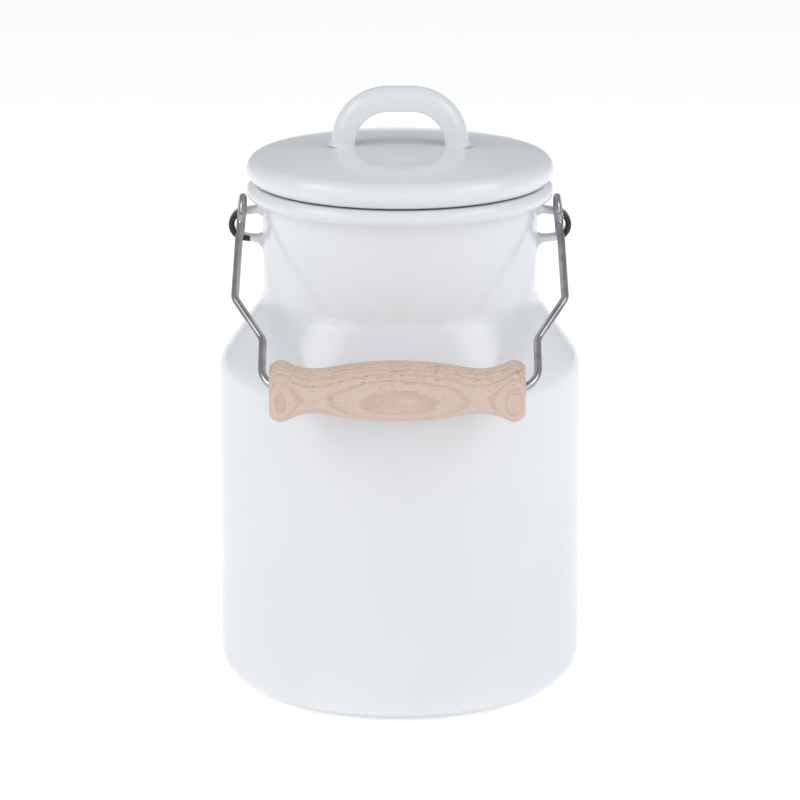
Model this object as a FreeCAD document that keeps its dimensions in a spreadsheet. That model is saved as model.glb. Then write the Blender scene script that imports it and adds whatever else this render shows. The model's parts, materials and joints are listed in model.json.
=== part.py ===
import FreeCAD, Part
import math
import os

import Sketcher

# Enamelled two-litre milk can with a lid, a wire bail and a turned grip.
# Millimetres, +Z up, origin at the middle of the base, bail ears on the X axis.
# The bail rests forward, on the -Y side of the shoulder.

SIZES = [
    # can: outer radii, heights up the wall, and corner radii
    ("can_radius", 70.0),
    ("sheet", 1.4),
    ("base_corner", 11.0),
    ("shoulder_height", 127.2),
    ("shoulder_slope", 35.5),
    ("shoulder_corner", 15.0),
    ("neck_corner", 12.0),
    ("neck_root_radius", 52.5),
    ("neck_radius", 53.0),
    ("bead_bottom", 190.4),
    ("bead_top", 196.4),
    ("bead_radius", 58.9),
    ("bead_round", 2.95),
    # lid
    ("lid_top", 211.3),
    ("lid_edge_radius", 59.0),
    ("lid_edge_round", 4.95),
    ("lid_bottom", 196.75),
    ("lid_lip_radius", 52.6),
    ("collar_radius", 50.5),
    ("collar_bottom", 184.0),
    ("collar_flange", 4.5),
    # arch on the lid
    ("arch_top", 233.3),
    ("arch_depth", 9.1),
    ("arch_width", 11.0),
    ("arch_sheet", 1.3),
    ("arch_flat", 4.6),
    ("arch_bend", 17.0),
    ("arch_lean", 7.1),
    ("arch_foot", 209.7),
    # ears
    ("ear_centre", 59.7),
    ("ear_height", 179.6),
    ("ear_bend", 6.2),
    ("ear_sheet", 2.2),
    ("ear_width", 6.6),
    ("ear_splay", 7.0),
    ("ear_bite", 0.6),
    ("ear_foot", 2.4),
    ("ear_outer_flare", 4.0),
    ("ear_inner_flare", 3.0),
    ("ear_edge", 0.8),
    # bail
    ("pivot_height", 184.3),
    ("bail_angle", 32.7),
    ("wire_radius", 1.5),
    ("eye_radius", 5.6),
    ("eye_place", 60.9),
    ("eye_yaw", 7.0),
    ("eye_neck", 3.0),
    ("eye_end", 24.0),
    ("jog_top", 9.6),
    ("jog_bottom", 14.6),
    ("jog_place", 61.6),
    ("jog_bend", 6.0),
    ("kink_height", 46.6),
    ("kink_place", 62.3),
    ("kink_bend", 7.0),
    ("throat_height", 68.0),
    ("throat_place", 51.3),
    ("bail_length", 94.1),
    ("bail_bend", 11.0),
    # grip
    ("grip_half", 47.25),
    ("grip_shift", 1.0),
    ("grip_bore", 1.58),
    ("grip_mouth", 6.3),
    ("grip_mouth_depth", 8.0),
    ("grip_end", 11.45),
    ("grip_end_place", 43.0),
    ("grip_end_round", 5.0),
    ("grip_waist", 8.4),
    ("grip_waist_place", 31.0),
    ("grip_waist_round", 37.0),
    ("grip_middle", 11.3),
]


class Size:
    """A number worked out from the sheet, with the expression that gives it."""

    def __init__(self, number, text):
        self.number = number
        self.text = text

    def __add__(self, other):
        other = as_size(other)
        return Size(self.number + other.number, "(%s + %s)" % (self.text, other.text))

    def __sub__(self, other):
        other = as_size(other)
        return Size(self.number - other.number, "(%s - %s)" % (self.text, other.text))

    def __mul__(self, other):
        other = as_size(other)
        return Size(self.number * other.number, "(%s * %s)" % (self.text, other.text))

    def __truediv__(self, other):
        other = as_size(other)
        return Size(self.number / other.number, "(%s / %s)" % (self.text, other.text))

    def __neg__(self):
        return Size(-self.number, "(0 - %s)" % self.text)

    def sqrt(self):
        return Size(math.sqrt(self.number), "sqrt(%s)" % self.text)

    def sin(self):
        return Size(math.sin(math.radians(self.number)), "sin(%s)" % self.text)

    def cos(self):
        return Size(math.cos(math.radians(self.number)), "cos(%s)" % self.text)

    def tan(self):
        return Size(math.tan(math.radians(self.number)), "tan(%s)" % self.text)


def as_size(value):
    if isinstance(value, Size):
        return value
    return Size(float(value), repr(float(value)))


class Sheet:
    """The driving sizes, as cells of a spreadsheet and as Size values."""

    def __init__(self, doc):
        cells = doc.addObject("Spreadsheet::Sheet", "Sizes")
        for row, (alias, number) in enumerate(SIZES, start=1):
            cells.set("A%d" % row, alias)
            cells.set("B%d" % row, str(number))
            cells.setAlias("B%d" % row, alias)
            setattr(self, alias, Size(number, "Sizes.%s" % alias))


doc = FreeCAD.newDocument("milk_pail")
sizes = Sheet(doc)
doc.recompute()
ZERO = as_size(0.0)


def new_body(label):
    body = doc.addObject("PartDesign::Body", label)
    body.Label = label
    return body


def origin_plane(body, role):
    for feature in body.Origin.OriginFeatures:
        if feature.Role == role:
            return feature
    raise ValueError("no plane %s" % role)


def new_sketch(body, name, role):
    sketch = body.newObject("Sketcher::SketchObject", name)
    sketch.AttachmentSupport = [(origin_plane(body, role), "")]
    sketch.MapMode = "FlatFace"
    return sketch


def bind(item, name, value):
    """Set a property from a size and tie it to the sheet."""
    value = as_size(value)
    if hasattr(item, name):
        setattr(item, name, value.number)
    item.setExpression(name, value.text)


class Corner:
    """A corner of an outline: rounded to a radius, or followed by an arc to the next corner.

    A following arc has its centre on the left of the way for a positive bend."""

    def __init__(self, x, y, rounded=None, arc=None, left=True):
        self.x = as_size(x)
        self.y = as_size(y)
        self.rounded = rounded
        self.arc = arc
        self.left = left

    def point(self):
        return FreeCAD.Vector(self.x.number, self.y.number, 0)


def unit(vector):
    return vector * (1.0 / vector.Length)


class Outline:
    """Draws corners into a sketch and ties every corner and radius to the sheet."""

    def __init__(self, sketch):
        self.sketch = sketch
        self.bound = []
        self.free = []

    def fix_point(self, piece, end, corner):
        for kind, value, axis in (("DistanceX", corner.x, -2), ("DistanceY", corner.y, -1)):
            if abs(value.number) < 1e-9:
                self.free.append(Sketcher.Constraint("PointOnObject", piece, end, axis))
            else:
                constraint = Sketcher.Constraint(kind, -1, 1, piece, end, value.number)
                self.bound.append((constraint, value))

    def add_arc(self, start, end, radius, left):
        """Minor arc from start to end; returns the piece and its ends in the order of travel."""
        chord = end - start
        middle = (start + end) * 0.5
        aside = FreeCAD.Vector(-chord.y, chord.x, 0)
        aside = unit(aside) * math.sqrt(max(radius.number ** 2 - chord.Length ** 2 / 4.0, 0.0))
        centre = middle + aside if left else middle - aside
        first, last = (start, end) if left else (end, start)
        angles = [math.atan2(point.y - centre.y, point.x - centre.x) for point in (first, last)]
        if angles[1] < angles[0]:
            angles[1] += 2.0 * math.pi
        circle = Part.Circle(centre, FreeCAD.Vector(0, 0, 1), radius.number)
        piece = self.sketch.addGeometry(Part.ArcOfCircle(circle, angles[0], angles[1]), False)
        self.bound.append((Sketcher.Constraint("Radius", piece, radius.number), radius))
        return (piece, 1, 2) if left else (piece, 2, 1)

    def trimmed(self, before, corner, after):
        """Where a rounded corner's arc meets the two straight runs."""
        back = unit(before - corner.point())
        ahead = unit(after - corner.point())
        half = back.getAngle(ahead) / 2.0
        reach = corner.rounded.number / math.tan(half)
        return corner.point() + back * reach, corner.point() + ahead * reach

    def draw(self, corners, closed=True):
        count = len(corners)
        points = [corner.point() for corner in corners]
        entries, exits = list(points), list(points)
        for i, corner in enumerate(corners):
            if corner.rounded is not None:
                entries[i], exits[i] = self.trimmed(points[i - 1], corner, points[(i + 1) % count])
        runs = []
        for i in range(count if closed else count - 1):
            corner, start, end = corners[i], exits[i], entries[(i + 1) % count]
            if corner.arc is not None:
                runs.append(self.add_arc(start, end, corner.arc, corner.left))
            else:
                piece = self.sketch.addGeometry(Part.LineSegment(start, end), False)
                runs.append((piece, 1, 2))
        for i, corner in enumerate(corners):
            before = runs[i - 1] if closed or i > 0 else None
            after = runs[i] if i < len(runs) else None
            self.join(corner, entries[i], exits[i], points[i], before, after)
        self.finish()

    def join(self, corner, entry, leave, point, before, after):
        if corner.rounded is None:
            piece, start = (after[0], after[1]) if after else (before[0], before[2])
            self.fix_point(piece, start, corner)
            if before and after:
                meet = Sketcher.Constraint("Coincident", before[0], before[2], after[0], after[1])
                self.free.append(meet)
            return
        turn = (point - entry).cross(leave - point).z
        arc, start, end = self.add_arc(entry, leave, corner.rounded, turn > 0)
        self.free.append(Sketcher.Constraint("Tangent", before[0], before[2], arc, start))
        self.free.append(Sketcher.Constraint("Tangent", arc, end, after[0], after[1]))
        mark = self.sketch.addGeometry(Part.Point(point), True)
        self.fix_point(mark, 1, corner)
        self.free.append(Sketcher.Constraint("PointOnObject", mark, 1, before[0]))
        self.free.append(Sketcher.Constraint("PointOnObject", mark, 1, after[0]))

    def finish(self):
        self.sketch.addConstraint(self.free)
        for constraint, value in self.bound:
            index = self.sketch.addConstraint(constraint)
            self.sketch.setExpression("Constraints[%d]" % index, value.text)


def revolve(body, sketch, axis):
    turned = body.newObject("PartDesign::Revolution", body.Label + "_turned")
    turned.Profile = sketch
    turned.ReferenceAxis = (sketch, [axis])
    turned.Angle = 360.0
    sketch.Visibility = False
    return turned


def sweep(body, name, profile, spine):
    pipe = body.newObject("PartDesign::AdditivePipe", name)
    pipe.Profile = profile
    pipe.Spine = (spine, ["Edge%d" % (i + 1) for i in range(len(spine.Shape.Edges))])
    return pipe


def mirror_over_x(body, features):
    """Repeat features on the other side of the YZ plane."""
    mirrored = body.newObject("PartDesign::Mirrored", body.Label + "_mirrored")
    mirrored.Originals = features
    mirrored.MirrorPlane = (origin_plane(body, "YZ_Plane"), [""])
    body.Tip = mirrored
    return mirrored


def make_can_shell():
    """Pressed can: flat base, straight wall, sloping shoulder, neck and rolled rim."""
    s = sizes
    body = new_body("can_shell")
    sketch = new_sketch(body, "can_section", "XZ_Plane")
    slope = (s.can_radius - s.neck_root_radius) / s.shoulder_slope.tan()
    neck_height = s.shoulder_height + slope
    drop = s.sheet * (s.shoulder_slope / 2).tan()
    inner_radius = s.can_radius - s.sheet
    corners = [
        Corner(ZERO, ZERO),
        Corner(s.can_radius, ZERO, rounded=s.base_corner),
        Corner(s.can_radius, s.shoulder_height, rounded=s.shoulder_corner),
        Corner(s.neck_root_radius, neck_height, rounded=s.neck_corner),
        Corner(s.neck_radius, s.bead_bottom),
        Corner(s.bead_radius, s.bead_bottom, rounded=s.bead_round),
        Corner(s.bead_radius, s.bead_top, rounded=s.bead_round),
        Corner(s.neck_radius - s.sheet, s.bead_top, rounded=s.bead_round),
        Corner(s.neck_root_radius - s.sheet, neck_height - drop, rounded=s.neck_corner + s.sheet),
        Corner(inner_radius, s.shoulder_height - drop, rounded=s.shoulder_corner - s.sheet),
        Corner(inner_radius, s.sheet, rounded=s.base_corner - s.sheet),
        Corner(ZERO, s.sheet),
    ]
    Outline(sketch).draw(corners)
    revolve(body, sketch, "V_Axis")
    return body


def lid_dome():
    """Radius of the lid's shallow dome, and the direction sine where it meets the rolled edge."""
    s = sizes
    rise = s.lid_top - lid_edge_height()
    reach = s.lid_edge_radius - s.lid_edge_round
    dome = (reach * reach + rise * rise - s.lid_edge_round * s.lid_edge_round)
    dome = dome / ((rise - s.lid_edge_round) * 2)
    return dome, reach / (dome - s.lid_edge_round)


def lid_edge_height():
    return sizes.lid_bottom + sizes.lid_edge_round


def make_lid_cover():
    """Lid sheet: a shallow dome whose edge is rolled round and under."""
    s = sizes
    body = new_body("lid_cover")
    sketch = new_sketch(body, "lid_section", "XZ_Plane")
    dome, lean = lid_dome()
    upright = (as_size(1.0) - lean * lean).sqrt()
    middle = lid_edge_height()
    reach = s.lid_edge_radius - s.lid_edge_round
    inner_round = s.lid_edge_round - s.sheet
    corners = [
        Corner(ZERO, s.lid_top - s.sheet, arc=dome - s.sheet, left=False),
        Corner(reach + inner_round * lean, middle + inner_round * upright, arc=inner_round, left=False),
        Corner(reach + inner_round, middle, arc=inner_round, left=False),
        Corner(reach, middle - inner_round),
        Corner(s.lid_lip_radius, middle - inner_round),
        Corner(s.lid_lip_radius, s.lid_bottom),
        Corner(reach, s.lid_bottom, arc=s.lid_edge_round),
        Corner(s.lid_edge_radius, middle, arc=s.lid_edge_round),
        Corner(reach + s.lid_edge_round * lean, middle + s.lid_edge_round * upright, arc=dome),
        Corner(ZERO, s.lid_top),
    ]
    Outline(sketch).draw(corners)
    revolve(body, sketch, "V_Axis")
    return body


def make_lid_collar():
    """Plug ring under the lid: a short tube with an inward flange welded to the lid sheet."""
    s = sizes
    body = new_body("lid_collar")
    sketch = new_sketch(body, "collar_section", "XZ_Plane")
    dome, _ = lid_dome()
    inner = s.collar_radius - s.sheet
    flange = s.collar_radius - s.collar_flange
    weld_height = s.lid_top - s.sheet - flange * flange / (dome * 2)
    corners = [
        Corner(inner, s.collar_bottom),
        Corner(s.collar_radius, s.collar_bottom),
        Corner(s.collar_radius, weld_height, rounded=s.sheet),
        Corner(flange, weld_height),
        Corner(flange, weld_height - s.sheet),
        Corner(inner, weld_height - s.sheet),
    ]
    Outline(sketch).draw(corners)
    revolve(body, sketch, "V_Axis")
    return body


def make_lid_handle():
    """Arch on the lid: a bent channel with a rounded back, open on the finger side."""
    s = sizes
    body = new_body("lid_handle")
    line_top = s.arch_top - s.arch_depth / 2
    bend_height = line_top - s.arch_bend
    run = bend_height + s.arch_bend * s.arch_lean.sin() - s.arch_foot
    leg_start = s.arch_flat + s.arch_bend * s.arch_lean.cos()
    path = new_sketch(body, "arch_line", "XZ_Plane")
    Outline(path).draw([
        Corner(ZERO, line_top),
        Corner(s.arch_flat, line_top, arc=s.arch_bend, left=False),
        Corner(leg_start, bend_height + s.arch_bend * s.arch_lean.sin()),
        Corner(leg_start + run * s.arch_lean.tan(), s.arch_foot),
    ], closed=False)
    section = new_sketch(body, "arch_section", "YZ_Plane")
    half = s.arch_width / 2
    low = s.arch_top - s.arch_depth
    inner = half - s.arch_sheet
    Outline(section).draw([
        Corner(-half, low),
        Corner(-inner, low),
        Corner(-inner, s.arch_top - half, arc=inner, left=False),
        Corner(ZERO, s.arch_top - s.arch_sheet, arc=inner, left=False),
        Corner(inner, s.arch_top - half),
        Corner(inner, low),
        Corner(half, low),
        Corner(half, s.arch_top - half, arc=half),
        Corner(ZERO, s.arch_top, arc=half),
        Corner(-half, s.arch_top - half),
    ])
    doc.recompute()
    arch = sweep(body, "arch_sweep", section, path)
    mirror_over_x(body, [arch])
    return body


def make_ear(label, turn):
    """Strap bent round to an open loop, with flared feet on the neck."""
    s = sizes
    body = new_body(label)
    sketch = new_sketch(body, label + "_outline", "XZ_Plane")
    root = s.neck_radius - s.ear_bite
    foot = s.neck_radius + s.ear_foot
    inner = s.ear_bend - s.ear_sheet

    def strap(radius, side, flare, outside):
        """Tangent point of the bend, end of the straight run and edge of the flared foot on one arm."""
        tangent_x = s.ear_centre + radius * s.ear_splay.sin()
        tangent_z = s.ear_height + radius * s.ear_splay.cos() * side
        run_z = tangent_z + (tangent_x - foot) * s.ear_splay.tan() * side
        centre_x = foot + flare * s.ear_splay.sin() * outside
        reach = (flare * flare - (centre_x - root) * (centre_x - root)).sqrt()
        rise = flare * s.ear_splay.cos() - reach
        return (tangent_x, tangent_z), (foot, run_z), (root, run_z + rise * side * outside)

    outer_flare, inner_flare = s.ear_outer_flare, s.ear_inner_flare
    upper, upper_run, upper_foot = strap(s.ear_bend, 1, outer_flare, 1)
    lower, lower_run, lower_foot = strap(s.ear_bend, -1, outer_flare, 1)
    under, under_run, under_foot = strap(inner, 1, inner_flare, -1)
    above, above_run, above_foot = strap(inner, -1, inner_flare, -1)
    Outline(sketch).draw([
        Corner(*upper_foot, arc=outer_flare),
        Corner(*upper_run),
        Corner(*upper, arc=s.ear_bend, left=False),
        Corner(s.ear_centre + s.ear_bend, s.ear_height, arc=s.ear_bend, left=False),
        Corner(*lower),
        Corner(*lower_run, arc=outer_flare),
        Corner(*lower_foot),
        Corner(*above_foot, arc=inner_flare),
        Corner(*above_run),
        Corner(*above, arc=inner),
        Corner(s.ear_centre + inner, s.ear_height, arc=inner),
        Corner(*under),
        Corner(*under_run, arc=inner_flare),
        Corner(*under_foot),
    ])
    pad = body.newObject("PartDesign::Pad", label + "_pad")
    pad.Profile = sketch
    pad.Midplane = True
    bind(pad, "Length", s.ear_width)
    doc.recompute()
    edges = []
    for number, edge in enumerate(pad.Shape.Edges, start=1):
        ends = [vertex.Point for vertex in edge.Vertexes]
        flat = all(abs(abs(end.y) - s.ear_width.number / 2) < 1e-6 for end in ends)
        on_side = abs(ends[0].y - ends[-1].y) < 1e-6
        in_wall = all(end.x < root.number + 1e-6 for end in ends)
        if flat and on_side and not in_wall:
            edges.append("Edge%d" % number)
    eased = body.newObject("PartDesign::Fillet", label + "_eased")
    eased.Base = (pad, edges)
    bind(eased, "Radius", s.ear_edge)
    about_can = FreeCAD.Rotation(FreeCAD.Vector(0, 0, 1), turn)
    body.Placement = FreeCAD.Placement(FreeCAD.Vector(0, 0, 0), about_can)
    return body


def make_bail_wire():
    """Bent wire, drawn hanging straight down from its pivot and then swung to its rest."""
    s = sizes
    body = new_body("bail_wire")
    line = new_sketch(body, "bail_line", "XZ_Plane")
    turn = s.eye_radius + s.eye_neck
    neck_cos = s.eye_neck / turn
    neck_sin = (as_size(1.0) - neck_cos * neck_cos).sqrt()
    eye_start = turn * neck_sin
    Outline(line).draw([
        Corner(ZERO, -s.bail_length),
        Corner(s.throat_place, -s.bail_length, rounded=s.bail_bend),
        Corner(s.throat_place, -s.throat_height, rounded=s.kink_bend),
        Corner(s.kink_place, -s.kink_height, rounded=s.kink_bend),
        Corner(s.jog_place, -s.jog_bottom, rounded=s.jog_bend),
        Corner(s.eye_place, -s.jog_top, rounded=s.jog_bend),
        Corner(s.eye_place, -eye_start),
    ], closed=False)
    span_section = new_sketch(body, "span_section", "YZ_Plane")
    add_circle(span_section, ZERO, -s.bail_length, s.wire_radius)
    eye = new_sketch(body, "eye_line", "YZ_Plane")
    eye_turn = FreeCAD.Rotation(FreeCAD.Vector(0, 1, 0), -s.eye_yaw.number)
    eye.AttachmentOffset = FreeCAD.Placement(FreeCAD.Vector(0, 0, s.eye_place.number), eye_turn)
    eye.setExpression("AttachmentOffset.Base.z", s.eye_place.text)
    ring = s.eye_radius
    Outline(eye).draw([
        Corner(ZERO, -eye_start, arc=s.eye_neck),
        Corner(-(ring * neck_cos), -(ring * neck_sin), arc=ring, left=False),
        Corner(-ring, ZERO, arc=ring, left=False),
        Corner(ZERO, ring, arc=ring, left=False),
        Corner(ring, ZERO, arc=ring, left=False),
        Corner(ring * s.eye_end.sin(), -(ring * s.eye_end.cos())),
    ], closed=False)
    eye_section = new_sketch(body, "eye_section", "XY_Plane")
    eye_section.AttachmentOffset = FreeCAD.Placement(
        FreeCAD.Vector(s.eye_place.number, 0, -eye_start.number), FreeCAD.Rotation())
    eye_section.setExpression("AttachmentOffset.Base.x", s.eye_place.text)
    eye_section.setExpression("AttachmentOffset.Base.z", (-eye_start).text)
    add_circle(eye_section, ZERO, ZERO, s.wire_radius)
    doc.recompute()
    arm = sweep(body, "arm_sweep", span_section, line)
    doc.recompute()
    loop = sweep(body, "eye_sweep", eye_section, eye)
    mirror_over_x(body, [arm, loop])
    body.Placement = bail_rest()
    return body


def add_circle(sketch, x, y, radius):
    piece = sketch.addGeometry(Part.Circle(FreeCAD.Vector(x.number, y.number, 0),
                                           FreeCAD.Vector(0, 0, 1), radius.number), False)
    outline = Outline(sketch)
    outline.fix_point(piece, 3, Corner(x, y))
    outline.bound.append((Sketcher.Constraint("Radius", piece, radius.number), radius))
    outline.finish()


def bail_rest():
    """The bail's place at rest: swung forward from hanging, about the ears' axis."""
    swing = sizes.bail_angle.number - 90.0
    pivot = FreeCAD.Vector(0, 0, sizes.pivot_height.number)
    return FreeCAD.Placement(pivot, FreeCAD.Rotation(FreeCAD.Vector(1, 0, 0), swing))


def make_grip():
    """Turned grip, drawn about the X axis, with countersunk ends for the bends of the wire."""
    s = sizes
    body = new_body("grip")
    sketch = new_sketch(body, "grip_section", "XZ_Plane")
    run = s.grip_end_place - s.grip_waist_place
    fall = s.grip_end - s.grip_waist
    end_sum = (run * run + fall * fall) / (fall * 2)
    hollow = end_sum - s.grip_end_round
    swell = s.grip_middle - s.grip_waist
    middle_sum = (s.grip_waist_place * s.grip_waist_place + swell * swell) / (swell * 2)
    barrel = middle_sum - s.grip_waist_round
    overhang = s.grip_half - s.grip_end_place
    end_centre = s.grip_end - s.grip_end_round
    face = end_centre + (s.grip_end_round * s.grip_end_round - overhang * overhang).sqrt()
    end_share = s.grip_end_round / end_sum
    end_meet = Corner(s.grip_end_place - run * end_share,
                      end_centre + (s.grip_waist + hollow - end_centre) * end_share,
                      arc=hollow, left=False)
    middle_share = barrel / middle_sum
    barrel_centre = s.grip_middle - barrel
    middle_meet = Corner(s.grip_waist_place * middle_share,
                         barrel_centre + (s.grip_waist + s.grip_waist_round - barrel_centre) * middle_share,
                         arc=barrel)
    Outline(sketch).draw([
        Corner(ZERO, s.grip_bore),
        Corner(s.grip_half - s.grip_mouth_depth, s.grip_bore),
        Corner(s.grip_half, s.grip_mouth),
        Corner(s.grip_half, face, arc=s.grip_end_round),
        end_meet,
        Corner(s.grip_waist_place, s.grip_waist, arc=s.grip_waist_round, left=False),
        middle_meet,
        Corner(ZERO, s.grip_middle),
    ])
    turned = revolve(body, sketch, "H_Axis")
    mirror_over_x(body, [turned])
    rest = bail_rest()
    axis = rest.multVec(FreeCAD.Vector(-s.grip_shift.number, 0, -s.bail_length.number))
    body.Placement = FreeCAD.Placement(axis, rest.Rotation)
    return body


def check_document():
    """Stop if anything in the document failed."""
    for item in doc.Objects:
        if "Invalid" in item.State or "Error" in item.State:
            raise RuntimeError("%s failed: %s" % (item.Label, item.State))


def export(parts):
    os.makedirs("parts", exist_ok=True)
    for part in parts:
        shape = part.Shape
        if shape.isNull() or not shape.isValid() or shape.Volume <= 0:
            raise RuntimeError("%s has no valid shape" % part.Label)
        print("%-12s %8.1f mm3, %d solid" % (part.Label, shape.Volume, len(shape.Solids)))
        shape.exportStep("parts/%s.step" % part.Label)


parts = [
    make_can_shell(),
    make_ear("ear_right", 0),
    make_ear("ear_left", 180),
    make_lid_cover(),
    make_lid_collar(),
    make_lid_handle(),
    make_bail_wire(),
    make_grip(),
]
doc.recompute()
check_document()
export(parts)
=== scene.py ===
import json
import math

import bmesh
import bpy
from mathutils import Matrix, Vector

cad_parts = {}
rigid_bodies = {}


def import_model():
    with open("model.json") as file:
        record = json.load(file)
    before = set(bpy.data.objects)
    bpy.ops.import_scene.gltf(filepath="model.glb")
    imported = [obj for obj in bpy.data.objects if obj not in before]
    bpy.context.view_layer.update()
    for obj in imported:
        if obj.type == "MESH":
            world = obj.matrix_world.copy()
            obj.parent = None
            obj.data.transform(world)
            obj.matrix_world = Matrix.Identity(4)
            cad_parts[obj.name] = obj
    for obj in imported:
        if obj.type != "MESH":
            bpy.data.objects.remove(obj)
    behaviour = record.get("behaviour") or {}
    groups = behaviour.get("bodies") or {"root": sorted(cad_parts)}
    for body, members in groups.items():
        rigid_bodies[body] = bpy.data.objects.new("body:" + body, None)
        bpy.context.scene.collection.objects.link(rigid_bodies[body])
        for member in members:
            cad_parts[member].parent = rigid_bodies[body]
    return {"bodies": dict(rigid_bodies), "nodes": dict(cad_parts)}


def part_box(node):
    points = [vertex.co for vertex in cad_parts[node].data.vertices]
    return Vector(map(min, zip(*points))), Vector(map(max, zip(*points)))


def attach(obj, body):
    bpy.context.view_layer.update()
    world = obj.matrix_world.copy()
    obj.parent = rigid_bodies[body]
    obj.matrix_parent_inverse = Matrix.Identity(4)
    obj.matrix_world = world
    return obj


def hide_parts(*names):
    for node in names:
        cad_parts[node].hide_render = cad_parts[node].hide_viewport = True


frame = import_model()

# Enamelled milk can, with a lift-off lid, a wire bail and a turned beech grip.
# Metres, +Z up, origin at the middle of the base, ears on X, bail resting towards -Y.

carried = list(frame["nodes"].values()) + list(frame["bodies"].values())
for leftover in [thing for thing in bpy.data.objects if thing not in carried]:
    bpy.data.objects.remove(leftover)
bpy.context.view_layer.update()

# ---------------------------------------------------------------- sizes

MM = 0.001
WELD = 1e-6
SEAM_ANGLE = math.radians(40)
LATHE_STEPS = 192
QUARTER = math.pi / 2
EDGE_SOFTNESS = 0.45    # share of a sheet's thickness that its cut edge is rounded by
NEARLY_HALF = 0.999     # a hair under a full half-round, so that its two corners stay apart

CAN_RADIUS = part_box("can_shell")[1].x
CAN_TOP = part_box("can_shell")[1].z
SHEET = 1.4 * MM
BASE_CORNER = 11 * MM
SHOULDER_HEIGHT = 127.2 * MM
SHOULDER_SLOPE = math.radians(35.5)
SHOULDER_CORNER = 15 * MM
NECK_CORNER = 12 * MM
NECK_ROOT = 52.5 * MM
NECK_RADIUS = 53 * MM
BEAD_RADIUS = 58.9 * MM
BEAD_BOTTOM = CAN_TOP - 6 * MM
BEAD_ROUND = 2.95 * MM
ENAMEL_FILLET = 0.35 * MM

LID_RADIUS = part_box("lid_cover")[1].x
LID_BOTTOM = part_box("lid_cover")[0].z
LID_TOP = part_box("lid_cover")[1].z
LID_ROUND = 4.95 * MM
LID_LIP = 52.6 * MM
LID_REACH = LID_RADIUS - LID_ROUND
LID_RISE = LID_TOP - LID_BOTTOM - LID_ROUND
LID_DOME = (LID_REACH ** 2 + LID_RISE ** 2 - LID_ROUND ** 2) / (2 * (LID_RISE - LID_ROUND))
LID_LEAN = math.asin(LID_REACH / (LID_DOME - LID_ROUND))

COLLAR_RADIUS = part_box("lid_collar")[1].x
COLLAR_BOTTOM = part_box("lid_collar")[0].z
COLLAR_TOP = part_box("lid_collar")[1].z
COLLAR_FLANGE = 4.5 * MM

ARCH_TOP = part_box("lid_handle")[1].z
ARCH_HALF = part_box("lid_handle")[1].y
ARCH_DEPTH = 9.1 * MM
ARCH_SHEET = 1.3 * MM
ARCH_FLAT = 4.6 * MM
ARCH_BEND = 17 * MM
ARCH_LEAN = math.radians(7.1)
ARCH_FLARE = 1.9 * MM
ARCH_BITE = 0.5 * MM

EAR_CENTRE = Vector((59.7, 0, 179.6)) * MM
EAR_BEND = 5.1 * MM
EAR_SHEET = 2.2 * MM
EAR_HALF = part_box("ear_right")[1].y
EAR_SPLAY = math.radians(7)
EAR_EDGE = 0.8 * MM
EAR_FLARE = 3.4 * MM
EAR_BITE = 0.4 * MM

PIVOT = Vector((0, 0, 184.3)) * MM
BAIL_SWING = math.radians(32.7 - 90)
WIRE_RADIUS = 1.5 * MM
WIRE_SIDES = 28
EYE_RADIUS = 5.6 * MM
EYE_NECK = 3 * MM
EYE_END = math.radians(24)
EYE_YAW = math.radians(7)
EYE_PLACE = 60.9 * MM
JOG_TOP = 9.6 * MM
JOG_BOTTOM = 14.6 * MM
JOG_PLACE = 61.6 * MM
JOG_BEND = 6 * MM
KINK_HEIGHT = 46.6 * MM
KINK_PLACE = 62.3 * MM
THROAT_HEIGHT = 68 * MM
THROAT_PLACE = 51.3 * MM
KINK_BEND = 7 * MM
BAIL_LENGTH = 94.1 * MM
BAIL_BEND = 11 * MM

GRIP_LOW, GRIP_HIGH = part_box("grip")
GRIP_CENTRE = (GRIP_LOW + GRIP_HIGH) / 2
GRIP_HALF = (GRIP_HIGH.x - GRIP_LOW.x) / 2
GRIP_BORE = 1.58 * MM
GRIP_MOUTH = 6.3 * MM
GRIP_MOUTH_DEPTH = 8 * MM
GRIP_END = (GRIP_HIGH.z - GRIP_LOW.z) / 2
GRIP_END_PLACE = 43 * MM
GRIP_END_ROUND = 5 * MM
GRIP_WAIST = 8.4 * MM
GRIP_WAIST_PLACE = 31 * MM
GRIP_WAIST_ROUND = 37 * MM
GRIP_MIDDLE = 11.3 * MM
MOUTH_ROUND = 0.6 * MM

# ---------------------------------------------------------------- drawing and sweeping


def flat(x, z):
    return Vector((x, 0, z))


class Pen:
    """Draws straight runs and arcs in the XZ plane, as joined edges."""

    def __init__(self, mesh, start):
        self.mesh = mesh
        self.tip = bmesh.ops.create_vert(mesh, co=start)["vert"][0]

    def line_to(self, place):
        if (place - self.tip.co).length > WELD:
            self.tip = bmesh.ops.extrude_vert_indiv(self.mesh, verts=[self.tip])["verts"][0]
            self.tip.co = place

    def turn(self, centre, angle, steps=10):
        """Carry the tip round a centre; a positive angle turns from +X towards +Z."""
        made = bmesh.ops.spin(self.mesh, geom=[self.tip], cent=centre, axis=(0, -1, 0),
                              angle=angle, steps=steps)
        self.tip = next(item for item in made["geom_last"] if isinstance(item, bmesh.types.BMVert))

    def round_corner(self, before, corner, after, radius, steps=10):
        """Run up to a corner and round it with an arc tangent to both of its runs."""
        back, ahead = (before - corner).normalized(), (after - corner).normalized()
        half = back.angle(ahead) / 2
        centre = corner + (back + ahead).normalized() * radius / math.sin(half)
        self.line_to(corner + back * radius / math.tan(half))
        side = back.z * ahead.x - back.x * ahead.z
        self.turn(centre, math.copysign(math.pi - 2 * half, side), steps)


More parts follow.
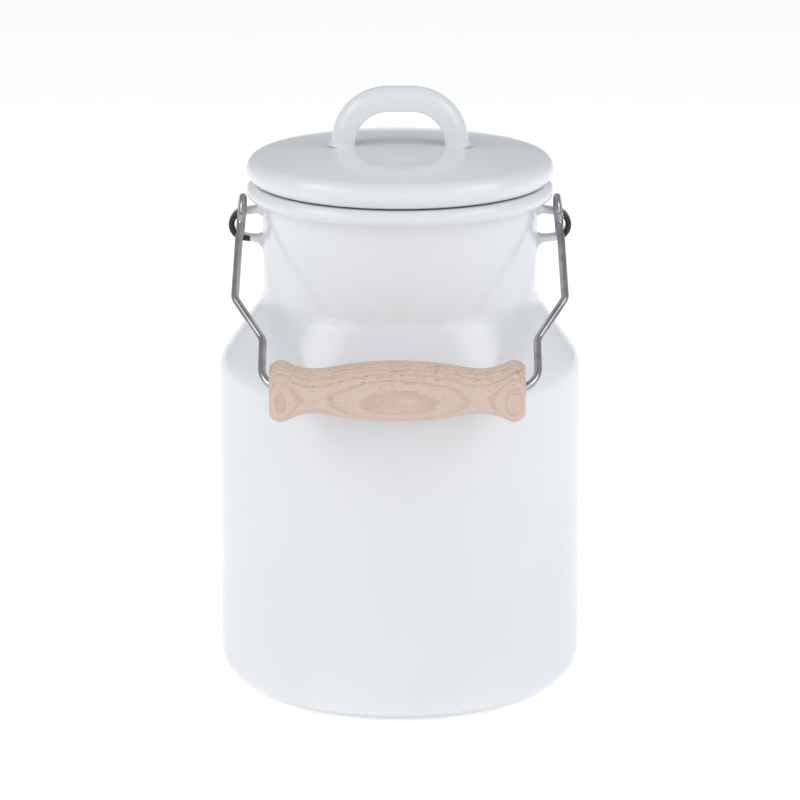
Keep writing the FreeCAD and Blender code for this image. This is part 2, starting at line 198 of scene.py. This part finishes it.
def draw_outline(mesh, corners, steps=10):
    """A closed outline through (x, z) or (x, z, radius) corners; the first one stays sharp."""
    points = [flat(corner[0], corner[1]) for corner in corners]
    pen = Pen(mesh, points[0])
    for i in range(1, len(corners)):
        after = points[(i + 1) % len(points)]
        if len(corners[i]) == 3:
            pen.round_corner(points[i - 1], points[i], after, corners[i][2], steps)
        else:
            pen.line_to(points[i])
    pen.line_to(points[0])
    bmesh.ops.remove_doubles(mesh, verts=mesh.verts[:], dist=WELD)


def lathe(mesh, axis):
    bmesh.ops.spin(mesh, geom=mesh.verts[:] + mesh.edges[:], cent=(0, 0, 0), axis=axis,
                   angle=2 * math.pi, steps=LATHE_STEPS, use_merge=True)
    tidy(mesh)


def tidy(mesh):
    """Close the seams, drop bare edges and turn the faces outwards."""
    bmesh.ops.remove_doubles(mesh, verts=mesh.verts[:], dist=WELD)
    bare = [edge for edge in mesh.edges if not edge.link_faces]
    bmesh.ops.delete(mesh, geom=bare, context="EDGES")
    bmesh.ops.recalc_face_normals(mesh, faces=mesh.faces[:])


def mirror(mesh, axis, centre=Vector((0, 0, 0))):
    bmesh.ops.mirror(mesh, geom=mesh.verts[:] + mesh.edges[:] + mesh.faces[:], axis=axis,
                     matrix=Matrix.Translation(-centre), merge_dist=WELD)
    tidy(mesh)


def turn(mesh, angle, axis):
    bmesh.ops.rotate(mesh, verts=mesh.verts[:], cent=(0, 0, 0),
                     matrix=Matrix.Rotation(angle, 3, axis))


class Sweep:
    """Carries a closed section along runs and bends, and leaves its skin behind."""

    def __init__(self, mesh, place, heading):
        self.mesh = mesh
        self.place = place.copy()
        self.heading = heading.copy()
        self.end = mesh.verts[:] + mesh.edges[:]

    def edges(self):
        return [item for item in self.end if isinstance(item, bmesh.types.BMEdge)]

    def go(self, length, grow=0.0, way=None):
        """Run straight on, and move the section's points outwards by grow, or only along way."""
        made = bmesh.ops.extrude_edge_only(self.mesh, edges=self.edges())["geom"]
        fresh = {item for item in made if isinstance(item, bmesh.types.BMVert)}
        rims = [item for item in made
                if isinstance(item, bmesh.types.BMEdge) and set(item.verts) <= fresh]
        bmesh.ops.translate(self.mesh, verts=list(fresh), vec=self.heading * length)
        self.place += self.heading * length
        for vert in fresh:
            out = vert.co - self.place
            out = way * out.dot(way) if way else out
            vert.co += out.normalized() * grow
        self.end = list(fresh) + rims

    def flare(self, radius, way=None, steps=6):
        """Run into a wall through a fillet."""
        for i in range(steps):
            start, end = QUARTER * i / steps, QUARTER * (i + 1) / steps
            self.go(radius * (math.sin(end) - math.sin(start)),
                    radius * (math.cos(start) - math.cos(end)), way)

    def bend(self, radius, angle, axis, steps):
        """Turn about an axis, right-handed for a positive angle."""
        side = axis.cross(self.heading) * math.copysign(radius, angle)
        centre = self.place + side
        made = bmesh.ops.spin(self.mesh, geom=self.end, cent=centre, axis=axis,
                              angle=angle, steps=steps)
        self.end = made["geom_last"]
        turned = Matrix.Rotation(angle, 3, axis)
        self.place = centre + turned @ (self.place - centre)
        self.heading = turned @ self.heading

    def follow(self, stops, steps=8):
        """Run through (point, radius) stops, with a bend at each; the last has no radius."""
        for (point, radius), (after, _) in zip(stops, stops[1:]):
            ahead = (after - point).normalized()
            turn = self.heading.angle(ahead)
            self.go((point - self.place).length - radius * math.tan(turn / 2))
            self.bend(radius, turn, self.heading.cross(ahead).normalized(), steps)
        self.go((stops[-1][0] - self.place).length)

    def close(self):
        bmesh.ops.contextual_create(self.mesh, geom=self.edges())


# ---------------------------------------------------------------- shader maths


class Level:
    """A socket's value, on which arithmetic adds Math nodes."""

    def __init__(self, finish, socket):
        self.finish = finish
        self.socket = socket

    def work(self, operation, *values):
        return self.finish.node("ShaderNodeMath", {"operation": operation}, dict(enumerate(values)))

    def __add__(self, other):
        return self.work("ADD", self, other)

    def __radd__(self, other):
        return self.work("ADD", other, self)

    def __sub__(self, other):
        return self.work("SUBTRACT", self, other)

    def __rsub__(self, other):
        return self.work("SUBTRACT", other, self)

    def __mul__(self, other):
        return self.work("MULTIPLY", self, other)

    def __rmul__(self, other):
        return self.work("MULTIPLY", other, self)

    def __truediv__(self, other):
        return self.work("DIVIDE", self, other)

    def __abs__(self):
        return self.work("ABSOLUTE", self)


class Finish:
    """A material whose nodes are added one call at a time."""

    def __init__(self, name, **constants):
        self.material = bpy.data.materials.new(name)
        self.material.use_nodes = True
        self.tree = self.material.node_tree
        self.tree.nodes.clear()
        self.shader = self.tree.nodes.new("ShaderNodeBsdfPrincipled")
        self.output = self.tree.nodes.new("ShaderNodeOutputMaterial")
        self.tree.links.new(self.shader.outputs[0], self.output.inputs["Surface"])
        for socket, value in constants.items():
            self.feed(self.shader, socket.replace("_", " "), value)
        self.place = self.node("ShaderNodeTexCoord", {}, {}, "Object")

    def feed(self, node, socket, value):
        if isinstance(value, Level):
            self.tree.links.new(value.socket, node.inputs[socket])
        else:
            node.inputs[socket].default_value = value

    def node(self, kind, settings, inputs, output=0):
        node = self.tree.nodes.new(kind)
        for name, value in settings.items():
            setattr(node, name, value)
        for socket, value in inputs.items():
            self.feed(node, socket, value)
        return Level(self, node.outputs[output])

    def axis(self, name):
        return self.node("ShaderNodeSeparateXYZ", {}, {0: self.place}, name)

    def stretched(self, scale):
        return self.node("ShaderNodeMapping", {}, {"Vector": self.place, "Scale": scale})

    def noise(self, where, scale, detail=2.0, roughness=0.5):
        sockets = {"Vector": where, "Scale": scale, "Detail": detail, "Roughness": roughness}
        return self.node("ShaderNodeTexNoise", {}, sockets, 0)

    def step(self, value, low, high):
        """0 below low and 1 above high, smooth between."""
        settings = {"interpolation_type": "SMOOTHSTEP"}
        return self.node("ShaderNodeMapRange", settings, {0: value, 1: low, 2: high}, 0)

    def mix(self, factor, first, second):
        settings = {"data_type": "RGBA"}
        return self.node("ShaderNodeMix", settings, {0: factor, 6: first, 7: second}, 2)

    def bump(self, height, strength, distance):
        sockets = {"Height": height, "Strength": strength, "Distance": distance}
        return self.node("ShaderNodeBump", {}, sockets)

    def set(self, **varying):
        for socket, value in varying.items():
            self.feed(self.shader, socket.replace("_", " "), value)


# ---------------------------------------------------------------- finishes

ENAMEL_WHITE = (0.81, 0.82, 0.838, 1)
ENAMEL_COOL = (0.775, 0.79, 0.82, 1)
GROUND_COAT = (0.012, 0.013, 0.016, 1)
STEEL_BRIGHT = (0.46, 0.45, 0.45, 1)
STEEL_DULL = (0.30, 0.295, 0.30, 1)
BEECH_EARLY = (0.715, 0.56, 0.475, 1)
BEECH_LATE = (0.605, 0.415, 0.32, 1)
BEECH_RAY = (0.36, 0.19, 0.12, 1)
KNOT_BROWN = (0.42, 0.16, 0.05, 1)
FLOOR_PALE = (0.93, 0.93, 0.93, 1)
FLOOR_PALER = (0.96, 0.96, 0.96, 1)

ENAMEL_BEND = 1.52      # refractive index of the fired glass
BEECH_BEND = 1.45
DRIFT_GRAIN = 14        # noise grains are counted per metre
WAVE_GRAIN = 55
RIPPLE_GRAIN = 420
GLOSS_GRAIN = 90
ENAMEL_RELIEF = 0.4 * MM
BARE_END = 62.3 * MM    # on an ear, the ground coat shows outside this distance from the axis
BARE_FADE = 0.25 * MM
BARE_RAGGED = 4.2 * MM
SCRAPE_START = 57.5 * MM
SCRAPE_HEIGHT = 176.2 * MM
SCRAPE_FRONT = 2 * MM
FADE = 0.3 * MM

RING_TILT = math.radians(11)
RING_SLANT = 0.006
RING_BOW = 90 * MM
RING_WANDER = 1.7 * MM
RING_START = 8.55 * MM
RING_WIDTH = 1.85 * MM
RINGS_BEHIND = 20       # keeps the ring count above zero all through the wood
KNOT_OFFSET = Vector((43.2, -6.5, 8.6)) * MM
KNOT_SIZE = (0.5 * MM, 1.3 * MM)


def enamel_base(finish):
    """Milky white that drifts a little cooler where the coat lies thinner."""
    drift = finish.step(finish.noise(finish.place, DRIFT_GRAIN), 0.35, 0.7)
    return finish.mix(drift, ENAMEL_WHITE, ENAMEL_COOL)


def enamel_skin(finish):
    """The long, shallow waves of a fired coat, with a finer ripple on them."""
    waves = finish.noise(finish.place, WAVE_GRAIN, 1)
    ripple = finish.noise(finish.place, RIPPLE_GRAIN, 2)
    return finish.bump(waves + ripple * 0.12, 0.16, ENAMEL_RELIEF)


def make_enamel():
    finish = Finish("white_enamel", IOR=ENAMEL_BEND)
    gloss = finish.noise(finish.place, GLOSS_GRAIN, 3)
    finish.set(Base_Color=enamel_base(finish), Roughness=gloss * 0.08 + 0.11,
               Normal=enamel_skin(finish))
    return finish.material


def make_ear_enamel():
    """White enamel that stops short of the bend, where the black ground coat is left bare.
    On the left ear the front of the lower strap is scraped bare too."""
    finish = Finish("ear_enamel", IOR=ENAMEL_BEND)
    x, y, z = finish.axis("X"), finish.axis("Y"), finish.axis("Z")
    right = finish.step(x, -MM, MM)
    ragged = (finish.noise(finish.place, 900, 4) - 0.5) * BARE_RAGGED * (right * 0.75 + 0.25)
    outward = abs(x) + ragged
    bend = finish.step(outward, BARE_END, BARE_END + BARE_FADE)
    lower = (1 - right) * finish.step(0 - z, -SCRAPE_HEIGHT, FADE - SCRAPE_HEIGHT)
    front = finish.step(0 - y, SCRAPE_FRONT, SCRAPE_FRONT + FADE)
    scraped = lower * front * finish.step(outward, SCRAPE_START, SCRAPE_START + FADE)
    bare = bend + scraped - bend * scraped
    finish.set(Base_Color=finish.mix(bare, enamel_base(finish), GROUND_COAT),
               Roughness=bare * 0.05 + 0.1,
               Normal=finish.bump(1 - bare, 0.7, 0.12 * MM))
    return finish.material


def make_steel():
    """Drawn wire: bright, with faint dull streaks and fine die scratches."""
    finish = Finish("drawn_steel", Metallic=1.0)
    streak = finish.noise(finish.stretched((900, 260, 260)), 1, 3)
    dull = finish.step(finish.noise(finish.place, 160, 3), 0.35, 0.75)
    finish.set(Base_Color=finish.mix(dull, STEEL_BRIGHT, STEEL_DULL),
               Roughness=streak * 0.1 + 0.11,
               Normal=finish.bump(streak, 0.12, 0.05 * MM))
    return finish.material


def make_beech():
    """Flat-sawn beech. The growth rings are nearly flat sheets facing the front and a little
    down, so the turned outline cuts them into ovals on the barrel and arcs on both ends."""
    finish = Finish("turned_beech", IOR=BEECH_BEND)
    x, y, z = finish.axis("X"), finish.axis("Y"), finish.axis("Z")
    fall, rise = math.sin(RING_TILT), math.cos(RING_TILT)
    along = x - GRIP_CENTRE.x
    ahead = (GRIP_CENTRE.y - y) * rise + (GRIP_CENTRE.z - z) * fall
    across = (z - GRIP_CENTRE.z) * rise + (GRIP_CENTRE.y - y) * fall
    wander = (finish.noise(finish.stretched((55, 260, 260)), 1, 3, 0.55) - 0.5) * RING_WANDER
    bow = across * across / RING_BOW
    depth = ahead + bow + along * RING_SLANT + wander
    ring = (depth - RING_START) / RING_WIDTH
    place = finish.node("ShaderNodeMath", {"operation": "FRACT"}, {0: ring + RINGS_BEHIND})
    late = finish.step(place, 0.0, 0.1) * (1 - finish.step(place, 0.1, 0.5))
    fibre = finish.noise(finish.stretched((110, 2400, 2400)), 1, 5, 0.65)
    wood = finish.mix(late * 0.62 + (fibre - 0.45) * 1.1, BEECH_EARLY, BEECH_LATE)
    flecks = finish.noise(finish.stretched((520, 3600, 3600)), 1, 2, 0.6)
    # painted light: the rays are painted a little denser, and the pores are painted only, on the
    # lit upper side of the grip, where the light shows them up
    lit_edge = finish.step(across, 2.5 * MM, 9 * MM)
    rays = finish.step(flecks + lit_edge * 0.04, 0.615, 0.68)
    wood = finish.mix(rays * 0.55, wood, BEECH_RAY)
    pores = finish.noise(finish.stretched((260, 1100, 1100)), 1, 2, 0.5)
    specks = finish.step(pores, 0.60, 0.68) * lit_edge
    wood = finish.mix(specks * 0.55, wood, BEECH_RAY)
    knot_place = Vector((0, GRIP_CENTRE.y, GRIP_CENTRE.z)) + KNOT_OFFSET
    away = finish.node("ShaderNodeVectorMath", {"operation": "DISTANCE"},
                       {0: finish.place, 1: knot_place}, "Value")
    grainy = away + (finish.noise(finish.place, 1400, 3) - 0.5) * 1.6 * MM
    knot = 1 - finish.step(grainy, *KNOT_SIZE)
    wood = finish.mix(knot * 0.7, wood, KNOT_BROWN)
    turning = finish.noise(finish.stretched((1500, 30, 30)), 1, 2)
    relief = fibre + rays * -0.7 + turning * 0.35
    finish.set(Base_Color=wood, Roughness=fibre * 0.2 + 0.5,
               Normal=finish.bump(relief, 0.35, 0.12 * MM))
    return finish.material


def make_floor_paint():
    """Pale floor that glows a little, more so behind the can, so that it stays white."""
    finish = Finish("pale_floor", Roughness=FLOOR_ROUGHNESS, Emission_Strength=FLOOR_GLOW)
    speckle = finish.noise(finish.place, 30, 3)
    behind = finish.step(finish.axis("Y"), -GLOW_FADE, GLOW_FADE)
    finish.set(Base_Color=finish.mix(speckle, FLOOR_PALE, FLOOR_PALER),
               Emission_Color=finish.mix(behind, FRONT_GLOW, BACK_GLOW))
    return finish.material


# ---------------------------------------------------------------- pieces


def finish_piece(name, mesh, material, body, node):
    """Make the mesh a smooth object that rides on its body in place of its CAD node."""
    data = bpy.data.meshes.new(name)
    for face in mesh.faces:
        face.smooth = True
    for edge in mesh.edges:
        edge.smooth = edge.calc_face_angle(0) < SEAM_ANGLE
    mesh.to_mesh(data)
    mesh.free()
    data.materials.append(material)
    piece = bpy.data.objects.new(name, data)
    bpy.context.scene.collection.objects.link(piece)
    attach(piece, body)
    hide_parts(node)


def make_can(enamel):
    mesh = bmesh.new()
    neck_height = SHOULDER_HEIGHT + (CAN_RADIUS - NECK_ROOT) / math.tan(SHOULDER_SLOPE)
    drop = SHEET * math.tan(SHOULDER_SLOPE / 2)
    inside = CAN_RADIUS - SHEET
    draw_outline(mesh, [
        (0, 0),
        (CAN_RADIUS, 0, BASE_CORNER),
        (CAN_RADIUS, SHOULDER_HEIGHT, SHOULDER_CORNER),
        (NECK_ROOT, neck_height, NECK_CORNER),
        (NECK_RADIUS, BEAD_BOTTOM, ENAMEL_FILLET),
        (BEAD_RADIUS, BEAD_BOTTOM, BEAD_ROUND),
        (BEAD_RADIUS, CAN_TOP, BEAD_ROUND),
        (NECK_RADIUS - SHEET, CAN_TOP, BEAD_ROUND),
        (NECK_ROOT - SHEET, neck_height - drop, NECK_CORNER + SHEET),
        (inside, SHOULDER_HEIGHT - drop, SHOULDER_CORNER - SHEET),
        (inside, SHEET, BASE_CORNER - SHEET),
        (0, SHEET),
    ], steps=14)
    lathe(mesh, (0, 0, 1))
    finish_piece("can", mesh, enamel, "can", "can_shell")


def make_lid(enamel):
    """Lid sheet: shallow dome, edge rolled round and under, ending in a rounded lip."""
    mesh = bmesh.new()
    dome_centre = flat(0, LID_TOP - LID_DOME)
    edge_centre = flat(LID_REACH, LID_BOTTOM + LID_ROUND)
    lip = LID_BOTTOM + SHEET
    soft = SHEET * EDGE_SOFTNESS
    pen = Pen(mesh, flat(0, LID_TOP - SHEET))
    pen.turn(dome_centre, -LID_LEAN, 14)
    pen.turn(edge_centre, LID_LEAN - math.pi, 22)
    inner_run = [flat(LID_REACH, lip), flat(LID_LIP, lip), flat(LID_LIP, LID_BOTTOM)]
    pen.round_corner(inner_run[0], inner_run[1], inner_run[2], soft, 6)
    pen.round_corner(inner_run[1], inner_run[2], flat(LID_REACH, LID_BOTTOM), soft, 6)
    pen.line_to(flat(LID_REACH, LID_BOTTOM))
    pen.turn(edge_centre, math.pi - LID_LEAN, 30)
    pen.turn(dome_centre, LID_LEAN, 14)
    pen.line_to(flat(0, LID_TOP - SHEET))
    bmesh.ops.remove_doubles(mesh, verts=mesh.verts[:], dist=WELD)
    lathe(mesh, (0, 0, 1))
    finish_piece("lid", mesh, enamel, "lid", "lid_cover")


def make_plug_ring(enamel):
    mesh = bmesh.new()
    inner = COLLAR_RADIUS - SHEET
    flange = COLLAR_RADIUS - COLLAR_FLANGE
    soft = SHEET * EDGE_SOFTNESS
    draw_outline(mesh, [
        (inner, (COLLAR_BOTTOM + COLLAR_TOP) / 2),
        (inner, COLLAR_BOTTOM, soft),
        (COLLAR_RADIUS, COLLAR_BOTTOM, soft),
        (COLLAR_RADIUS, COLLAR_TOP, SHEET),
        (flange, COLLAR_TOP, soft),
        (flange, COLLAR_TOP - SHEET, soft),
        (inner, COLLAR_TOP - SHEET, soft),
    ], steps=6)
    lathe(mesh, (0, 0, 1))
    finish_piece("plug_ring", mesh, enamel, "lid", "lid_collar")


def make_arch(enamel):
    """Arch on the lid: a channel with a rounded back, whose feet flare into the lid's enamel."""
    mesh = bmesh.new()
    low = ARCH_TOP - ARCH_DEPTH
    inner = ARCH_HALF - ARCH_SHEET
    soft = ARCH_SHEET * EDGE_SOFTNESS
    draw_outline(mesh, [
        (0, ARCH_TOP),
        (-ARCH_HALF, ARCH_TOP, ARCH_HALF * NEARLY_HALF),
        (-ARCH_HALF, low, soft),
        (-inner, low, soft),
        (-inner, ARCH_TOP - ARCH_SHEET, inner * NEARLY_HALF),
        (inner, ARCH_TOP - ARCH_SHEET, inner * NEARLY_HALF),
        (inner, low, soft),
        (ARCH_HALF, low, soft),
        (ARCH_HALF, ARCH_TOP, ARCH_HALF * NEARLY_HALF),
    ])
    turn(mesh, QUARTER, "Z")
    line = flat(0, ARCH_TOP - ARCH_DEPTH / 2)
    sweep = Sweep(mesh, line, Vector((1, 0, 0)))
    sweep.go(ARCH_FLAT)
    sweep.bend(ARCH_BEND, QUARTER - ARCH_LEAN, Vector((0, 1, 0)), 22)
    lid_here = LID_TOP - sweep.place.x ** 2 / (2 * LID_DOME)
    sweep.go((sweep.place.z - lid_here) / math.cos(ARCH_LEAN) + ARCH_BITE - ARCH_FLARE)
    sweep.flare(ARCH_FLARE)
    sweep.close()
    mirror(mesh, "X")
    finish_piece("lid_arch", mesh, enamel, "lid", "lid_handle")


def make_ear(name, side, enamel):
    """Strap bent to an open loop, with feet that flare into the neck's enamel."""
    mesh = bmesh.new()
    half = EAR_SHEET / 2
    soft = EAR_EDGE
    draw_outline(mesh, [
        (0, -half),
        (EAR_HALF, -half, soft),
        (EAR_HALF, half, soft),
        (-EAR_HALF, half, soft),
        (-EAR_HALF, -half, soft),
    ], steps=5)
    middle = EAR_CENTRE + Vector((EAR_BEND, 0, 0))
    upright = Matrix.Rotation(QUARTER, 3, "Z") @ Matrix.Rotation(QUARTER, 3, "X")
    for vert in mesh.verts:
        vert.co = middle + upright @ vert.co
    sweep = Sweep(mesh, middle, Vector((0, 0, 1)))
    sweep.bend(EAR_BEND, EAR_SPLAY - QUARTER, Vector((0, 1, 0)), 16)
    sweep.go((sweep.place.x - NECK_RADIUS + EAR_BITE) / math.cos(EAR_SPLAY) - EAR_FLARE)
    sweep.flare(EAR_FLARE, sweep.heading.cross(Vector((0, 1, 0))))
    sweep.close()
    mirror(mesh, "Z", EAR_CENTRE)
    if side < 0:
        turn(mesh, math.pi, "Z")
    finish_piece(name + "_strap", mesh, enamel, "can", name)


def make_bail(steel):
    """The wire, drawn hanging from its pivot, with an eye at each end, and swung to its rest."""
    mesh = bmesh.new()
    start = flat(0, -BAIL_LENGTH)
    bmesh.ops.create_circle(mesh, segments=WIRE_SIDES, radius=WIRE_RADIUS,
                            matrix=Matrix.Translation(start) @ Matrix.Rotation(QUARTER, 4, "Y"))
    sweep = Sweep(mesh, start, Vector((1, 0, 0)))
    neck_angle = math.acos(EYE_NECK / (EYE_NECK + EYE_RADIUS))
    eye_start = (EYE_NECK + EYE_RADIUS) * math.sin(neck_angle)
    sweep.follow([
        (flat(THROAT_PLACE, -BAIL_LENGTH), BAIL_BEND),
        (flat(THROAT_PLACE, -THROAT_HEIGHT), KINK_BEND),
        (flat(KINK_PLACE, -KINK_HEIGHT), KINK_BEND),
        (flat(JOG_PLACE, -JOG_BOTTOM), JOG_BEND),
        (flat(EYE_PLACE, -JOG_TOP), JOG_BEND),
        (flat(EYE_PLACE, -eye_start), 0),
    ], steps=12)
    across = Matrix.Rotation(-EYE_YAW, 3, "Z") @ Vector((1, 0, 0))
    sweep.bend(EYE_NECK, neck_angle, across, 10)
    ring_turn = 2 * math.pi - (QUARTER - neck_angle) - EYE_END
    sweep.bend(EYE_RADIUS, -ring_turn, across, 64)
    sweep.close()
    mirror(mesh, "X")
    turn(mesh, BAIL_SWING, "X")
    bmesh.ops.translate(mesh, verts=mesh.verts[:], vec=PIVOT)
    finish_piece("bail", mesh, steel, "bail", "bail_wire")


def make_grip(beech):
    """Turned grip: a barrel between two waists, round-nosed ends and countersunk bores."""
    mesh = bmesh.new()
    run, fall = GRIP_END_PLACE - GRIP_WAIST_PLACE, GRIP_END - GRIP_WAIST
    hollow = (run ** 2 + fall ** 2) / (2 * fall) - GRIP_END_ROUND
    swell = GRIP_MIDDLE - GRIP_WAIST
    barrel = (GRIP_WAIST_PLACE ** 2 + swell ** 2) / (2 * swell) - GRIP_WAIST_ROUND
    end_centre = flat(GRIP_END_PLACE, GRIP_END - GRIP_END_ROUND)
    hollow_centre = flat(GRIP_WAIST_PLACE, GRIP_WAIST + hollow)
    waist_centre = flat(GRIP_WAIST_PLACE, GRIP_WAIST + GRIP_WAIST_ROUND)
    barrel_centre = flat(0, GRIP_MIDDLE - barrel)
    face_angle = math.acos((GRIP_HALF - GRIP_END_PLACE) / GRIP_END_ROUND)
    face = end_centre.z + GRIP_END_ROUND * math.sin(face_angle)
    lean = math.atan2(run, hollow_centre.z - end_centre.z)
    slope = math.atan2(GRIP_WAIST_PLACE, waist_centre.z - barrel_centre.z)
    throat = flat(GRIP_HALF - GRIP_MOUTH_DEPTH, GRIP_BORE)
    mouth = flat(GRIP_HALF, GRIP_MOUTH)
    pen = Pen(mesh, flat(0, GRIP_BORE))
    pen.line_to(throat)
    pen.round_corner(throat, mouth, flat(GRIP_HALF, face), MOUTH_ROUND, 6)
    pen.line_to(flat(GRIP_HALF, face))
    pen.turn(end_centre, QUARTER + lean - face_angle, 18)
    pen.turn(hollow_centre, -lean, 10)
    pen.turn(waist_centre, -slope, 6)
    pen.turn(barrel_centre, slope, 14)
    lathe(mesh, (1, 0, 0))
    mirror(mesh, "X")
    bmesh.ops.translate(mesh, verts=mesh.verts[:], vec=GRIP_CENTRE)
    finish_piece("grip_handle", mesh, beech, "grip", "grip")


# ---------------------------------------------------------------- stage, lights and camera

CAMERA_PLACE = Vector((0, -1.5519, 0.515))
CAMERA_PITCH = 0.2557
SENSOR = 36
LENS = 185.3
FLOOR_RADIUS = 8
FLOOR_GAP = 0.05 * MM
FLOOR_GLOW = 0.44
FLOOR_ROUGHNESS = 0.85
FRONT_GLOW = (0.5, 0.5, 0.5, 1)
BACK_GLOW = (1, 1, 1, 1)
GLOW_FADE = 0.15
AIR_COLOUR = (0.93, 0.96, 1.0, 1)
AIR_STRENGTH = 0.48
LIGHTS_AIM = Vector((0, 0, 0.12))
HIGH_BOX = ((1.3, -0.35, 1.35), (0.8, 0.9), 4.2)      # place, size, watts; one on each side
LOW_BOX = ((1.45, -0.9, 0.95), (1.3, 1.3), 7.2)
FRONT_BOX = ((0, -2.6, 0.9), (2.2, 1.0), 4)


def make_floor(paint):
    """A wide pale disc."""
    mesh = bmesh.new()
    bmesh.ops.create_circle(mesh, cap_ends=True, segments=64, radius=FLOOR_RADIUS)
    data = bpy.data.meshes.new("studio_floor")
    mesh.to_mesh(data)
    mesh.free()
    data.materials.append(paint)
    floor = bpy.data.objects.new("studio_floor", data)
    floor.location.z = -FLOOR_GAP
    bpy.context.scene.collection.objects.link(floor)


def make_light(name, place, size, power):
    """A soft box that faces the middle of the can."""
    data = bpy.data.lights.new(name, "AREA")
    data.shape = "RECTANGLE"
    data.size, data.size_y = size
    data.energy = power
    light = bpy.data.objects.new(name, data)
    light.location = place
    towards = LIGHTS_AIM - light.location
    light.rotation_euler = towards.to_track_quat("-Z", "Y").to_euler()
    bpy.context.scene.collection.objects.link(light)


def make_world():
    world = bpy.data.worlds.new("studio_air")
    world.use_nodes = True
    air = world.node_tree.nodes["Background"]
    air.inputs["Color"].default_value = AIR_COLOUR
    air.inputs["Strength"].default_value = AIR_STRENGTH
    bpy.context.scene.world = world


def make_camera():
    data = bpy.data.cameras.new("camera")
    data.sensor_width = SENSOR
    data.lens = LENS
    camera = bpy.data.objects.new("camera", data)
    camera.location = CAMERA_PLACE
    camera.rotation_euler = (QUARTER - CAMERA_PITCH, 0, 0)
    bpy.context.scene.collection.objects.link(camera)
    bpy.context.scene.camera = camera
    bpy.context.scene.view_settings.view_transform = "Standard"


make_camera()
make_world()
for name, (place, size, power) in (("high_box", HIGH_BOX), ("low_box", LOW_BOX)):
    for side in (-1, 1):
        make_light(name, (place[0] * side, place[1], place[2]), size, power)
make_light("front_box", *FRONT_BOX)
make_floor(make_floor_paint())

white_enamel = make_enamel()
ear_enamel = make_ear_enamel()
make_can(white_enamel)
make_lid(white_enamel)
make_plug_ring(white_enamel)
make_arch(white_enamel)
make_ear("ear_right", 1, ear_enamel)
make_ear("ear_left", -1, ear_enamel)
make_bail(make_steel())
make_grip(make_beech())
